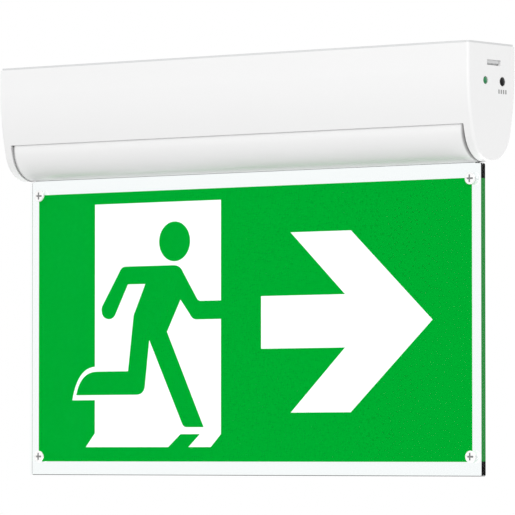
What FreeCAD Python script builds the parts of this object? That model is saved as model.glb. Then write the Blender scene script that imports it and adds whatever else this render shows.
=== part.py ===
import FreeCAD, Part
# Emergency exit light with a swivelling edge-lit legend panel, hung from its mounting base.
# Frame: X runs along the housing to the right, -Y is the front, +Z is up, and the origin is the
# centre of the base's top face, which lies on the ceiling. Every length is in millimetres.
import math
import os
import Sketcher

# ---------------------------------------------------------------- driving dimensions
DIMENSIONS = [
    # housing
    ("housing_length", 326.0),      # outside length, cheek to cheek
    ("housing_depth", 43.0),        # outside depth at the top
    ("housing_wall", 2.0),          # wall of the moulded cover
    ("straight_side", 16.0),        # upright part of the side, below the ceiling
    ("end_rounding", 1.6),          # rounding round each end face
    ("cheek_thick", 5.6),           # end cheek, outside face to barrel side
    ("cheek_wall", 1.2),            # barrel side wall of the hollow cheek
    ("headroom", 24.2),             # wiring space between the base and the trough
    ("trough_wall", 1.6),           # wall between wiring space and barrel
    ("lip_rise", 2.3),              # front lip above the barrel's axis
    ("gutter_rise", 9.9),           # floor beside the trough, above the barrel's axis
    # mounting base
    ("flange_thick", 1.2),          # edge of the base that shows above the cover
    ("flange_inset", 0.6),          # the flange stands this far inside the cover's outline
    ("tray_drop", 2.4),             # underside of the base plate below the ceiling
    ("tray_clearance", 0.3),        # play between the base and the cover
    ("skirt_drop", 6.0),            # lower edge of the base's locating skirt
    ("skirt_wall", 1.4),
    ("fixing_spacing", 200.0),      # between the two ceiling screws
    ("fixing_hole_radius", 2.25),
    ("fixing_slot_length", 9.0),
    ("cable_hole_radius", 8.0),
    ("cable_hole_x", 8.0),
    # latch at each end
    ("latch_offset", 1.6),          # window centre behind the middle plane
    ("latch_drop", 10.7),           # window centre below the ceiling
    ("window_width", 12.4),
    ("window_height", 2.9),
    ("latch_side_play", 1.0),
    ("hook_reach", 1.7),
    # barrel and pivots
    ("barrel_radius", 17.4),
    ("barrel_wall", 1.8),
    ("barrel_clearance", 0.35),     # barrel to trough
    ("barrel_end_bevel", 0.6),
    ("barrel_end_gap", 1.0),        # barrel end to cheek
    ("journal_radius", 5.0),
    ("journal_play", 0.06),
    ("bush_bore_radius", 3.2),
    ("bush_seat_play", 0.05),
    ("bush_flange_radius", 8.0),
    ("bush_flange_thick", 0.6),
    ("bush_reach", 0.6),            # bush tip past the barrel's end wall
    ("washer_radius", 8.5),
    ("washer_thick", 0.9),
    ("jaw_thick", 2.2),             # jaws that hold the panel's neck
    ("jaw_top", 5.3),               # top of the jaws above the axis
    ("rib_thick", 1.6),
    ("rib_spacing", 40.0),
    ("clamp_drop", 6.4),            # clamp screws below the axis
    ("clamp_spacing", 80.0),
    ("clamp_shank_radius", 1.2),
    ("clamp_head_radius", 2.8),
    ("clamp_head_play", 0.3),
    ("clamp_head_height", 1.7),
    ("boss_radius", 3.6),
    ("boss_sink", 0.3),             # a boss ends this far inside the barrel's surface
    # legend panel
    ("panel_width", 314.0),
    ("panel_bottom", 229.7),        # lower edge below the ceiling
    ("sheet_thick", 1.75),          # each clear sheet
    ("film_thick", 0.3),
    ("legend_width", 300.0),
    ("legend_height", 150.0),
    ("legend_margin", 7.9),         # clear strip under the legend
    ("panel_corner", 1.0),
    ("panel_gap", 0.4),             # barrel to the panel's shoulders
    ("neck_half_width", 146.0),
    ("neck_foot_half_width", 153.4),  # wider foot of the neck, between the barrel's end walls
    ("neck_foot_drop", 8.0),        # top of that foot below the axis
    ("neck_rise", 2.5),             # top of the neck above the axis
    ("screw_inset", 2.5),           # lower corner screws above the legend's edge
    ("corner_hole_radius", 1.7),
    ("corner_head_radius", 3.2),
    ("corner_head_height", 0.9),
    ("corner_head_bevel", 0.3),
    ("corner_recess_arm", 2.3),     # cross recess, from the middle
    ("corner_recess_half", 0.5),
    ("corner_recess_depth", 0.6),
    ("corner_nut_height", 1.3),
    # lamp board inside the barrel
    ("lamp_board_length", 302.0),
    ("lamp_board_width", 8.0),
    ("board_thick", 1.6),
    ("lamp_height", 1.6),
    ("lamp_size", 2.8),
    ("lamp_pitch", 20.0),
    # driver electronics
    ("board_length", 100.0),
    ("board_width", 34.0),
    ("board_standoff", 1.6),
    ("board_end_gap", 1.0),
    ("board_screw_inset", 4.5),
    ("control_rise", 3.0),          # indicator and button axis above the board
    ("indicator_y", -6.0),
    ("indicator_radius", 1.9),
    ("button_y", 9.4),
    ("button_radius", 2.2),
    ("button_travel", 0.8),
    ("button_dome_radius", 4.0),
    ("button_rise", 0.6),           # top of the button outside the end face
    ("indicator_dome_radius", 2.4),
    ("indicator_rise", 0.4),
    ("control_play", 0.28),
    ("battery_radius", 7.25),
    ("battery_length", 150.0),
    ("battery_x", -155.0),
    ("lead_radius", 0.85),
    ("lead_gap", 0.15),             # lamp lead to its turning plug
    ("board_boss_radius", 3.0),
    ("board_pilot_radius", 1.1),
    ("board_pilot_depth", 6.0),
    ("board_hole_radius", 1.5),
    ("board_screw_head_radius", 2.6),
    ("board_screw_head_height", 1.8),
    ("board_screw_radius", 1.05),
    ("board_screw_length", 7.0),
    ("socket_height", 5.0),
    ("socket_length", 8.0),
    ("socket_width", 7.0),
    ("socket_wall", 1.0),
    ("terminal_gap", 4.0),          # cable hole's rim to the terminal block
    ("terminal_length", 16.0),
    ("terminal_width", 24.0),
    ("terminal_height", 11.0),
    ("terminal_pitch", 8.0),
    ("terminal_screw_radius", 2.0),
    ("terminal_screw_room", 0.2),
]


class Size:
    """A length that carries its number and the sheet expression that gives it."""

    def __init__(self, value, text):
        self.value = float(value)
        self.text = text

    def __add__(self, other):
        other = as_size(other)
        return Size(self.value + other.value, "(%s + %s)" % (self.text, other.text))

    def __sub__(self, other):
        other = as_size(other)
        return Size(self.value - other.value, "(%s - %s)" % (self.text, other.text))

    def __mul__(self, other):
        other = as_size(other)
        return Size(self.value * other.value, "(%s * %s)" % (self.text, other.text))

    def __truediv__(self, other):
        other = as_size(other)
        return Size(self.value / other.value, "(%s / %s)" % (self.text, other.text))

    def __neg__(self):
        return Size(-self.value, "(0 - %s)" % self.text)


def as_size(number):
    """A plain number as a Size."""
    if isinstance(number, Size):
        return number
    return Size(number, "(%.6f)" % number)


def root(size):
    """Square root of a Size."""
    return Size(math.sqrt(size.value), "sqrt(%s)" % size.text)


def chord(radius, distance):
    """Half chord of a circle at a distance from its centre."""
    return root(radius * radius - distance * distance)


# ---------------------------------------------------------------- document and sheet
doc = FreeCAD.newDocument("ExitLight")
sheet = doc.addObject("Spreadsheet::Sheet", "Sizes")
for row, (alias, number) in enumerate(DIMENSIONS, start=1):
    sheet.set("A%d" % row, alias)
    sheet.set("B%d" % row, "%g" % number)
    sheet.setAlias("B%d" % row, alias)
doc.recompute()
SIZE = {alias: Size(number, "Sizes.%s" % alias) for alias, number in DIMENSIONS}

# ---------------------------------------------------------------- places worked out from them
ZERO = as_size(0.0)
HALF_LENGTH = SIZE["housing_length"] / 2
HALF_DEPTH = SIZE["housing_depth"] / 2
COVER_TOP = -SIZE["flange_thick"]
CHEEK_FACE = HALF_LENGTH - SIZE["cheek_thick"]
CHEEK_POCKET_IN = CHEEK_FACE + SIZE["cheek_wall"]
CHEEK_POCKET_OUT = HALF_LENGTH - SIZE["housing_wall"]
CHAMBER_RADIUS = SIZE["barrel_radius"] + SIZE["barrel_clearance"]
TROUGH_RADIUS = CHAMBER_RADIUS + SIZE["trough_wall"]
TRAY_BOTTOM = -SIZE["tray_drop"]
TROUGH_TOP = TRAY_BOTTOM - SIZE["headroom"]
AXIS_Z = TROUGH_TOP - TROUGH_RADIUS
FLANK_TOP = -SIZE["straight_side"]
FLANK_DROP = FLANK_TOP - AXIS_Z
LIP_Z = AXIS_Z + SIZE["lip_rise"]
GUTTER_Z = AXIS_Z + SIZE["gutter_rise"]
# The side's arc starts upright at FLANK_TOP and runs tangent into the round bottom of the cheek.
FLANK_RADIUS = ((HALF_DEPTH * HALF_DEPTH + FLANK_DROP * FLANK_DROP
                 - SIZE["barrel_radius"] * SIZE["barrel_radius"])
                / ((HALF_DEPTH - SIZE["barrel_radius"]) * 2))
FLANK_CENTRE_Y = FLANK_RADIUS - HALF_DEPTH
BARREL_HALF_LENGTH = CHEEK_FACE - SIZE["barrel_end_gap"]
BARREL_BORE = SIZE["barrel_radius"] - SIZE["barrel_wall"]
JOURNAL_HOLE = SIZE["journal_radius"] + SIZE["journal_play"]
PANEL_HALF_THICK = SIZE["sheet_thick"] + SIZE["film_thick"] / 2
FILM_HALF_THICK = SIZE["film_thick"] / 2
JAW_TOP_Z = AXIS_Z + SIZE["jaw_top"]
NECK_TOP_Z = AXIS_Z + SIZE["neck_rise"]
PANEL_SHOULDER_Z = AXIS_Z - SIZE["barrel_radius"] - SIZE["panel_gap"]
PANEL_BOTTOM_Z = -SIZE["panel_bottom"]
LEGEND_BOTTOM_Z = PANEL_BOTTOM_Z + SIZE["legend_margin"]
LEGEND_TOP_Z = LEGEND_BOTTOM_Z + SIZE["legend_height"]
PLUG_FACE_X = SIZE["neck_half_width"] + 4.6
CORNER_X = SIZE["legend_width"] / 2
CORNER_LOW_Z = LEGEND_BOTTOM_Z + SIZE["screw_inset"]
CORNER_RISE = LEGEND_TOP_Z - CORNER_LOW_Z
CLAMP_Z = AXIS_Z - SIZE["clamp_drop"]
LAMP_BOARD_TOP_Z = JAW_TOP_Z + SIZE["board_thick"]
BOARD_BOTTOM_Z = TROUGH_TOP + SIZE["board_standoff"]
BOARD_TOP_Z = BOARD_BOTTOM_Z + SIZE["board_thick"]
BOARD_RIGHT = CHEEK_FACE - SIZE["board_end_gap"]
BOARD_LEFT = BOARD_RIGHT - SIZE["board_length"]
CONTROL_Z = BOARD_TOP_Z + SIZE["control_rise"]
BATTERY_Z = TROUGH_TOP + 2.0 + SIZE["battery_radius"]
LATCH_TOP_Z = -SIZE["latch_drop"] + SIZE["window_height"] / 2
LATCH_LOW_Z = -SIZE["latch_drop"] - SIZE["window_height"] / 2

SUB_PARTS = []


# ---------------------------------------------------------------- drawing and feature helpers
def new_body(label):
    """An empty body that becomes one node."""
    body = doc.addObject("PartDesign::Body", "body_" + label)
    body.Label = label
    body.AllowCompound = True
    SUB_PARTS.append(body)
    return body


def origin_plane(body, role):
    """One of the body's own origin planes."""
    return [item for item in body.Origin.OriginFeatures if item.Role == role][0]


def new_sketch(body, role, shift=ZERO):
    """A sketch on an origin plane, moved along the plane's normal (+X, -Y or +Z)."""
    name = "sketch_%s_%d" % (body.Label, len(body.Group))
    sketch = body.newObject("Sketcher::SketchObject", name)
    sketch.AttachmentSupport = [(origin_plane(body, role), "")]
    sketch.MapMode = "FlatFace"
    sketch.AttachmentOffset = FreeCAD.Placement(FreeCAD.Vector(0, 0, shift.value), FreeCAD.Rotation())
    sketch.setExpression("AttachmentOffset.Base.z", shift.text)
    return sketch


def bind_constraint(sketch, constraint, text):
    """Add a dimension to a sketch and tie it to the sheet."""
    index = sketch.addConstraint(constraint)
    sketch.setExpression("Constraints[%d]" % index, text)


def pin_point(sketch, curve, point, x, y):
    """Hold one point of a curve at (x, y)."""
    bind_constraint(sketch, Sketcher.Constraint("DistanceX", -1, 1, curve, point, x.value), x.text)
    bind_constraint(sketch, Sketcher.Constraint("DistanceY", -1, 1, curve, point, y.value), y.text)


def draw_circle(sketch, x, y, radius):
    """A circle."""
    x, y, radius = as_size(x), as_size(y), as_size(radius)
    centre = FreeCAD.Vector(x.value, y.value, 0)
    curve = sketch.addGeometry(Part.Circle(centre, FreeCAD.Vector(0, 0, 1), radius.value))
    pin_point(sketch, curve, 3, x, y)
    bind_constraint(sketch, Sketcher.Constraint("Radius", curve, radius.value), radius.text)


def add_side(sketch, start, end):
    """One side of an outline; gives its index and its first and last point numbers."""
    first = FreeCAD.Vector(start[0].value, start[1].value, 0)
    last = FreeCAD.Vector(end[0].value, end[1].value, 0)
    if len(end) == 2:
        return sketch.addGeometry(Part.LineSegment(first, last)), 1, 2
    centre = FreeCAD.Vector(end[2].value, end[3].value, 0)
    circle = Part.Circle(centre, FreeCAD.Vector(0, 0, 1), (first - centre).Length)
    if end[4] < 0:
        first, last = last, first
    low = math.atan2(first.y - centre.y, first.x - centre.x)
    high = math.atan2(last.y - centre.y, last.x - centre.x)
    if high <= low:
        high += 2 * math.pi
    curve = sketch.addGeometry(Part.ArcOfCircle(circle, low, high))
    across = abs(last.x - first.x) > abs(last.y - first.y)
    axis, number = ("DistanceY", end[3]) if across else ("DistanceX", end[2])
    bind_constraint(sketch, Sketcher.Constraint(axis, -1, 1, curve, 3, number.value), number.text)
    return (curve, 1, 2) if end[4] > 0 else (curve, 2, 1)


def draw_chain(sketch, points):
    """Sides through the points: (x, y) ends a straight side, (x, y, cx, cy, turn) ends an arc about
    (cx, cy), counterclockwise for turn 1 and clockwise for turn -1."""
    points = [tuple(as_size(n) for n in p[:4]) + tuple(p[4:]) for p in points]
    sides = [add_side(sketch, a, b) for a, b in zip(points, points[1:])]
    for (curve, first, last), (following, start, end) in zip(sides, sides[1:]):
        sketch.addConstraint(Sketcher.Constraint("Coincident", curve, last, following, start))
    for (curve, first, last), point in zip(sides, points[1:]):
        pin_point(sketch, curve, last, point[0], point[1])
    return sides, points


def draw_loop(sketch, points):
    """A closed outline: the last side runs back to the first point."""
    closed = points + [points[0][:2]]
    sides, points = draw_chain(sketch, closed)
    sketch.addConstraint(Sketcher.Constraint("Coincident", sides[-1][0], sides[-1][2],
                                             sides[0][0], sides[0][1]))


def draw_path(sketch, points):
    """An open line of sides."""
    sides, points = draw_chain(sketch, points)
    pin_point(sketch, sides[0][0], sides[0][1], points[0][0], points[0][1])


def draw_rectangle(sketch, x0, x1, y0, y1):
    """An upright rectangle."""
    draw_loop(sketch, [(x0, y0), (x1, y0), (x1, y1), (x0, y1)])


def draw_slot(sketch, x, y, half_run, radius):
    """A slot with round ends, along the sketch's first axis."""
    left, right = x - half_run, x + half_run
    draw_loop(sketch, [(left, y + radius), (left, y - radius, left, y, 1),
                       (right, y - radius), (right, y + radius, right, y, 1)])


def feature(body, kind, sketch):
    """A feature made from a sketch."""
    made = body.newObject("PartDesign::" + kind, "%s_%s_%d" % (kind.lower(), body.Label, len(body.Group)))
    made.Profile = sketch
    return made


def checked(body, made, grows):
    """Recompute and make sure that the feature changed the body's volume the right way."""
    before = made.BaseFeature.Shape.Volume if made.BaseFeature else 0.0
    doc.recompute()
    change = made.Shape.Volume - before
    if (change > 0) != grows or abs(change) < 1e-6:
        raise RuntimeError("%s changed nothing in %s" % (made.Name, body.Label))
    body.Tip = made
    return made


def pad(body, sketch, length, both=False, back=False):
    """Grow a sketch along its normal, or to both sides of it, or backwards."""
    made = feature(body, "Pad", sketch)
    made.setExpression("Length", as_size(length).text)
    made.SideType = "Symmetric" if both else "One side"
    made.Reversed = back
    return checked(body, made, True)


def pocket(body, sketch, length, both=False, back=False):
    """Cut a sketch; a pocket runs against the sketch's normal unless back is set."""
    made = feature(body, "Pocket", sketch)
    made.setExpression("Length", as_size(length).text)
    made.SideType = "Symmetric" if both else "One side"
    made.Reversed = back
    return checked(body, made, False)


def revolve(body, sketch, axis="H_Axis"):
    """Turn a sketch once round one of its axes."""
    made = feature(body, "Revolution", sketch)
    made.ReferenceAxis = (sketch, [axis])
    made.Angle = 360.0
    return checked(body, made, True)


def pattern(body, originals, sketch, axis, length, count, second=None):
    """Repeat features along one sketch axis, and along a second one where it is given."""
    made = body.newObject("PartDesign::LinearPattern", "pattern_%s_%d" % (body.Label, len(body.Group)))
    made.Originals = originals
    made.Direction = (sketch, [axis])
    made.setExpression("Length", as_size(length).text)
    made.Occurrences = count
    if second:
        made.Direction2 = (sketch, [second[0]])
        made.setExpression("Length2", as_size(second[1]).text)
        made.Occurrences2 = second[2]
    body.Tip = made
    doc.recompute()
    return made


def mirror(body, originals, role="YZ_Plane"):
    """Mirror features in one of the body's origin planes."""
    made = body.newObject("PartDesign::Mirrored", "mirror_%s_%d" % (body.Label, len(body.Group)))
    made.Originals = originals
    made.MirrorPlane = (origin_plane(body, role), [""])
    body.Tip = made
    doc.recompute()
    return made


def dress_edges(body, kind, size, wanted):
    """Fillet or Chamfer on the edges of the body's last feature that the rule picks."""
    base = body.Tip
    names = ["Edge%d" % (n + 1) for n, edge in enumerate(base.Shape.Edges) if wanted(edge.BoundBox)]
    made = body.newObject("PartDesign::" + kind, "%s_%s_%d" % (kind.lower(), body.Label, len(body.Group)))
    made.Base = (base, names)
    made.setExpression("Radius" if kind == "Fillet" else "Size", as_size(size).text)
    return checked(body, made, False)


def near(first, second):
    """Two numbers that agree within a hair."""
    return abs(first - second) < 1e-4


def box(body, x0, x1, y0, y1, z0, z1):
    """A straight block grown from its underside."""
    sketch = new_sketch(body, "XY_Plane", as_size(z0))
    draw_rectangle(sketch, x0, x1, y0, y1)
    return pad(body, sketch, as_size(z1) - z0)


# ---------------------------------------------------------------- housing
def section_points(top, inset):
    """Cross-section of the housing, inset from its outer surface: upright sides, long side arcs
    and a round bottom about the barrel's axis."""
    side = HALF_DEPTH - inset
    bottom_radius = SIZE["barrel_radius"] - inset
    spread = FLANK_RADIUS - SIZE["barrel_radius"]
    touch_y = bottom_radius * FLANK_CENTRE_Y / spread
    touch_z = AXIS_Z - bottom_radius * FLANK_DROP / spread
    return [(-side, top), (-side, FLANK_TOP),
            (-touch_y, touch_z, FLANK_CENTRE_Y, FLANK_TOP, 1),
            (touch_y, touch_z, ZERO, AXIS_Z, 1),
            (side, FLANK_TOP, -FLANK_CENTRE_Y, FLANK_TOP, 1),
            (side, top)]


def housing_cover():
    """Moulded cover: a shell with hollow end cheeks and a trough over the barrel."""
    body = new_body("housing_cover")
    outer = new_sketch(body, "YZ_Plane")
    draw_loop(outer, section_points(COVER_TOP, ZERO))
    pad(body, outer, SIZE["housing_length"], both=True)
    ends = HALF_LENGTH.value
    top = COVER_TOP.value
    dress_edges(body, "Fillet", SIZE["end_rounding"],
                lambda b: near(abs(b.XMin), ends) and near(b.XMin, b.XMax) and not near(b.ZMin, top))

    # wiring space, open at the top, with the trough standing up in its floor
    wall = SIZE["housing_wall"]
    gutter_y = chord(FLANK_RADIUS - wall, SIZE["gutter_rise"] - FLANK_DROP) - FLANK_CENTRE_Y
    trough_y = chord(TROUGH_RADIUS, SIZE["gutter_rise"])
    side = HALF_DEPTH - wall
    space = new_sketch(body, "YZ_Plane")
    draw_loop(space, [(-side, ZERO), (-side, FLANK_TOP),
                      (-gutter_y, GUTTER_Z, FLANK_CENTRE_Y, FLANK_TOP, 1),
                      (-trough_y, GUTTER_Z),
                      (trough_y, GUTTER_Z, ZERO, AXIS_Z, -1),
                      (gutter_y, GUTTER_Z),
                      (side, FLANK_TOP, -FLANK_CENTRE_Y, FLANK_TOP, 1),
                      (side, ZERO)])
    pocket(body, space, CHEEK_POCKET_OUT * 2, both=True)

    # hollow of each cheek
    cheek = new_sketch(body, "YZ_Plane", CHEEK_POCKET_IN)
    draw_loop(cheek, section_points(ZERO, wall))
    hollow = pocket(body, cheek, CHEEK_POCKET_OUT - CHEEK_POCKET_IN, back=True)
    mirror(body, [hollow])

    board_bosses(body)
    battery_cradles(body)

    # barrel chamber, open below the lip
    lip_y = chord(CHAMBER_RADIUS, SIZE["lip_rise"])
    clear = HALF_DEPTH + 2.0
    below = AXIS_Z - CHAMBER_RADIUS - 4.0
    chamber = new_sketch(body, "YZ_Plane")
    draw_loop(chamber, [(-clear, below), (clear, below), (clear, LIP_Z), (lip_y, LIP_Z),
                        (-lip_y, LIP_Z, ZERO, AXIS_Z, 1), (-clear, LIP_Z)])
    pocket(body, chamber, CHEEK_FACE * 2, both=True)

    # pivot holes through the inner cheek walls, then the latch windows through the end walls
    pivots = new_sketch(body, "YZ_Plane")
    draw_circle(pivots, ZERO, AXIS_Z, SIZE["journal_radius"] + SIZE["bush_seat_play"])
    pocket(body, pivots, (CHEEK_POCKET_IN + 1.0) * 2, both=True)
    windows = new_sketch(body, "YZ_Plane")
    half_window = SIZE["window_width"] / 2
    draw_rectangle(windows, SIZE["latch_offset"] - half_window, SIZE["latch_offset"] + half_window,
                   LATCH_LOW_Z, LATCH_TOP_Z)
    pocket(body, windows, SIZE["housing_length"] + 4.0, both=True)

    # holes for the indicator and the test button in the right end
    controls = new_sketch(body, "YZ_Plane", CHEEK_POCKET_IN)
    draw_circle(controls, SIZE["indicator_y"], CONTROL_Z, SIZE["indicator_radius"] + 0.2)
    draw_circle(controls, SIZE["button_y"], CONTROL_Z, SIZE["button_radius"] + SIZE["control_play"])
    pocket(body, controls, SIZE["cheek_thick"] + 2.0, back=True)


def board_hole_places():
    """The four fixing holes of the driver board, as the two x and the two y values."""
    inset = SIZE["board_screw_inset"]
    return [BOARD_LEFT + inset, BOARD_RIGHT - inset - 8.0], [-(SIZE["board_width"] / 2 - inset),
                                                           SIZE["board_width"] / 2 - inset]


def board_bosses(body):
    """Four screw bosses that rise from the trough to carry the driver board."""
    xs, ys = board_hole_places()
    bosses = new_sketch(body, "XY_Plane", BOARD_BOTTOM_Z)
    pilots = new_sketch(body, "XY_Plane", BOARD_BOTTOM_Z)
    for x in xs:
        for y in ys:
            draw_circle(bosses, x, y, SIZE["board_boss_radius"])
            draw_circle(pilots, x, y, SIZE["board_pilot_radius"])
    pad(body, bosses, BOARD_BOTTOM_Z - GUTTER_Z, back=True)
    pocket(body, pilots, SIZE["board_pilot_depth"])


def battery_cradles(body):
    """Three clips that rise from the trough and reach round the battery."""
    grip = SIZE["battery_radius"] + 0.15
    rise = as_size(3.0)
    half = grip + 2.0
    mouth = chord(grip, rise)
    top = BATTERY_Z + rise
    foot = TROUGH_TOP - 4.0
    first = SIZE["battery_x"] + 10.0
    clip = new_sketch(body, "YZ_Plane", first)
    draw_loop(clip, [(-half, foot), (half, foot), (half, top), (mouth, top),
                     (-mouth, top, ZERO, BATTERY_Z, -1), (-half, top)])
    made = pad(body, clip, 4.0)
    along = new_sketch(body, "XY_Plane")
    draw_circle(along, first, ZERO, 1.0)
    pattern(body, [made], along, "H_Axis", SIZE["battery_length"] - 24.0, 3)


def mounting_base():
    """Base that is screwed to the ceiling; the cover snaps over its skirt and end latches."""
    body = new_body("mounting_base")
    inset = SIZE["flange_inset"]
    flange_x, flange_y = HALF_LENGTH - inset, HALF_DEPTH - inset
    box(body, -flange_x, flange_x, -flange_y, flange_y, COVER_TOP, ZERO)
    dress_edges(body, "Fillet", SIZE["end_rounding"], lambda b: not near(b.ZMin, b.ZMax))

    play = SIZE["tray_clearance"]
    x_out = CHEEK_POCKET_OUT - play
    y_out = HALF_DEPTH - SIZE["housing_wall"] - play
    box(body, -x_out, x_out, -y_out, y_out, TRAY_BOTTOM, COVER_TOP)

    skirt = new_sketch(body, "XY_Plane", TRAY_BOTTOM)
    draw_rectangle(skirt, -x_out, x_out, -y_out, y_out)
    wall = SIZE["skirt_wall"]
    draw_rectangle(skirt, wall - x_out, x_out - wall, wall - y_out, y_out - wall)
    pad(body, skirt, SIZE["skirt_drop"] - SIZE["tray_drop"], back=True)
    latches(body, x_out)

    # slots for the ceiling screws and the hole for the supply cable
    holes = new_sketch(body, "XY_Plane")
    radius = SIZE["fixing_hole_radius"]
    half_run = SIZE["fixing_slot_length"] / 2 - radius
    for place in (-SIZE["fixing_spacing"] / 2, SIZE["fixing_spacing"] / 2):
        draw_slot(holes, place, ZERO, half_run, radius)
    draw_circle(holes, SIZE["cable_hole_x"], ZERO, SIZE["cable_hole_radius"])
    pocket(body, holes, SIZE["tray_drop"] + 1.0)


def latches(body, x_out):
    """A springy tongue with a hook at each end, cut free of the skirt by two slots."""
    wall = SIZE["skirt_wall"]
    half = SIZE["window_width"] / 2 - SIZE["latch_side_play"]
    middle = SIZE["latch_offset"]
    low = LATCH_LOW_Z - 1.2
    hook_low = LATCH_LOW_Z + 0.3
    slope = 0.9
    tongue = new_sketch(body, "XZ_Plane", -middle)
    reach = x_out + SIZE["hook_reach"]
    draw_loop(tongue, [(x_out - wall, -SIZE["skirt_drop"] + 1.0), (x_out - wall, low), (x_out, low),
                       (x_out, hook_low), (reach, hook_low + slope), (reach, LATCH_TOP_Z),
                       (x_out, LATCH_TOP_Z), (x_out, -SIZE["skirt_drop"] + 1.0)])
    grown = pad(body, tongue, half * 2, both=True)
    mirror(body, [grown])
    slots = new_sketch(body, "YZ_Plane")
    for y in (middle - half - 0.5, middle + half + 0.5):
        draw_rectangle(slots, y - 0.5, y + 0.5, -SIZE["skirt_drop"] - 1.0, TRAY_BOTTOM - 0.6)
    pocket(body, slots, SIZE["housing_length"], both=True)


# ---------------------------------------------------------------- pivots
def pivot_parts(side, name):
    """Flanged hollow bush pushed through the cheek, and the washer round it: the barrel turns on
    the bush and the washer gives it its friction."""
    bush = new_body("pivot_bush_" + name)
    tip = BARREL_HALF_LENGTH - SIZE["barrel_wall"] - SIZE["bush_reach"]
    back = CHEEK_POCKET_IN + SIZE["bush_flange_thick"]
    profile = new_sketch(bush, "XZ_Plane")
    bore, shank, flange = SIZE["bush_bore_radius"], SIZE["journal_radius"], SIZE["bush_flange_radius"]
    draw_loop(profile, [(tip * side, bore), (back * side, bore), (back * side, flange),
                        (CHEEK_POCKET_IN * side, flange), (CHEEK_POCKET_IN * side, shank),
                        ((tip + 0.5) * side, shank), (tip * side, shank - 0.5)])
    revolve(bush, profile)
    set_place(bush, z=AXIS_Z)
    washer = new_body("friction_washer_" + name)
    ring = new_sketch(washer, "YZ_Plane", CHEEK_FACE * side)
    draw_circle(ring, ZERO, ZERO, SIZE["washer_radius"])
    draw_circle(ring, ZERO, ZERO, JOURNAL_HOLE)
    pad(washer, ring, SIZE["washer_thick"], back=side > 0)
    set_place(washer, z=AXIS_Z)


def set_place(body, x=None, y=None, z=None):
    """Move a finished body to its place."""
    for axis, size in (("x", x), ("y", y), ("z", z)):
        if size is not None:
            body.setExpression("Placement.Base." + axis, as_size(size).text)
    doc.recompute()


# ---------------------------------------------------------------- barrel
def barrel_half(name, side):
    """One half of the barrel, split along the panel: a half tube with end walls, a jaw that grips
    the panel's neck, stiffening ribs and clamp bosses. side is -1 for the front, 1 for the rear."""
    body = new_body(name)
    radius, bore = SIZE["barrel_radius"], BARREL_BORE
    gap = PANEL_HALF_THICK
    jaw = gap + SIZE["jaw_thick"]
    foot_out = AXIS_Z - chord(radius, gap)
    foot_in = AXIS_Z - chord(bore, jaw)
    turn = -side
    shell = new_sketch(body, "YZ_Plane")
    draw_loop(shell, [(ZERO, AXIS_Z + radius), (gap * side, foot_out, ZERO, AXIS_Z, turn),
                      (gap * side, JAW_TOP_Z), (jaw * side, JAW_TOP_Z), (jaw * side, foot_in),
                      (ZERO, AXIS_Z + bore, ZERO, AXIS_Z, -turn)])
    pad(body, shell, BARREL_HALF_LENGTH * 2, both=True)
    ends = BARREL_HALF_LENGTH.value
    tall = radius.value * 1.9
    dress_edges(body, "Chamfer", SIZE["barrel_end_bevel"],
                lambda b: near(abs(b.XMin), ends) and near(b.XMin, b.XMax) and b.ZLength > tall)

    # end walls
    end = new_sketch(body, "YZ_Plane", BARREL_HALF_LENGTH)
    draw_loop(end, [(ZERO, AXIS_Z + bore + 0.5),
                    (ZERO, AXIS_Z - bore - 0.5, ZERO, AXIS_Z, turn)])
    wall = pad(body, end, SIZE["barrel_wall"], back=True)
    mirror(body, [wall])

    barrel_ribs(body, side, jaw)
    clamp_bosses(body, side)

    # bearing hole for the bush in each end wall, and room for the lamp plug between the jaws
    for end in (-1, 1):
        bearing = new_sketch(body, "YZ_Plane", BARREL_HALF_LENGTH * end)
        draw_circle(bearing, ZERO, AXIS_Z, JOURNAL_HOLE)
        pocket(body, bearing, SIZE["barrel_wall"] + SIZE["bush_reach"] * 2, back=end < 0)
    plug_room = new_sketch(body, "XZ_Plane")
    inside = BARREL_HALF_LENGTH - SIZE["barrel_wall"]
    draw_rectangle(plug_room, SIZE["neck_half_width"] + 0.5, inside, AXIS_Z - 5.0, JAW_TOP_Z + 1.0)
    pocket(body, plug_room, (jaw + 0.5) * 2, both=True)


def barrel_ribs(body, side, jaw):
    """Cross ribs from the jaw to the shell, notched over the edge of the lamp board."""
    rib = new_sketch(body, "YZ_Plane", -SIZE["rib_spacing"] * 3 - SIZE["rib_thick"] / 2)
    reach = BARREL_BORE + 0.5
    drop = SIZE["clamp_drop"] + 1.0
    low, high = AXIS_Z - drop, LAMP_BOARD_TOP_Z + 2.0
    board_edge = SIZE["lamp_board_width"] / 2 + 0.1
    hook = board_edge - 1.2
    shelf = LAMP_BOARD_TOP_Z + 0.05
    inner = jaw - 0.3
    draw_loop(rib, [(inner * side, low), (chord(reach, drop) * side, low),
                    (chord(reach, high - AXIS_Z) * side, high, ZERO, AXIS_Z, side),
                    (hook * side, high), (hook * side, shelf), (board_edge * side, shelf),
                    (board_edge * side, JAW_TOP_Z), (inner * side, JAW_TOP_Z)])
    made = pad(body, rib, SIZE["rib_thick"])
    along = new_sketch(body, "XY_Plane")
    draw_circle(along, ZERO, ZERO, 1.0)
    pattern(body, [made], along, "H_Axis", SIZE["rib_spacing"] * 6, 7)


def clamp_places():
    """X of the four clamp screws."""
    return [SIZE["clamp_spacing"] * n for n in (-1.5, -0.5, 0.5, 1.5)]


def clamp_seat():
    """Depth of the clamp screws' seats behind the panel's middle: the heads stay inside the barrel."""
    edge = SIZE["clamp_drop"] + SIZE["clamp_head_radius"] + SIZE["clamp_head_play"]
    return chord(SIZE["barrel_radius"], edge) - SIZE["clamp_head_height"] - 0.3


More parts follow.
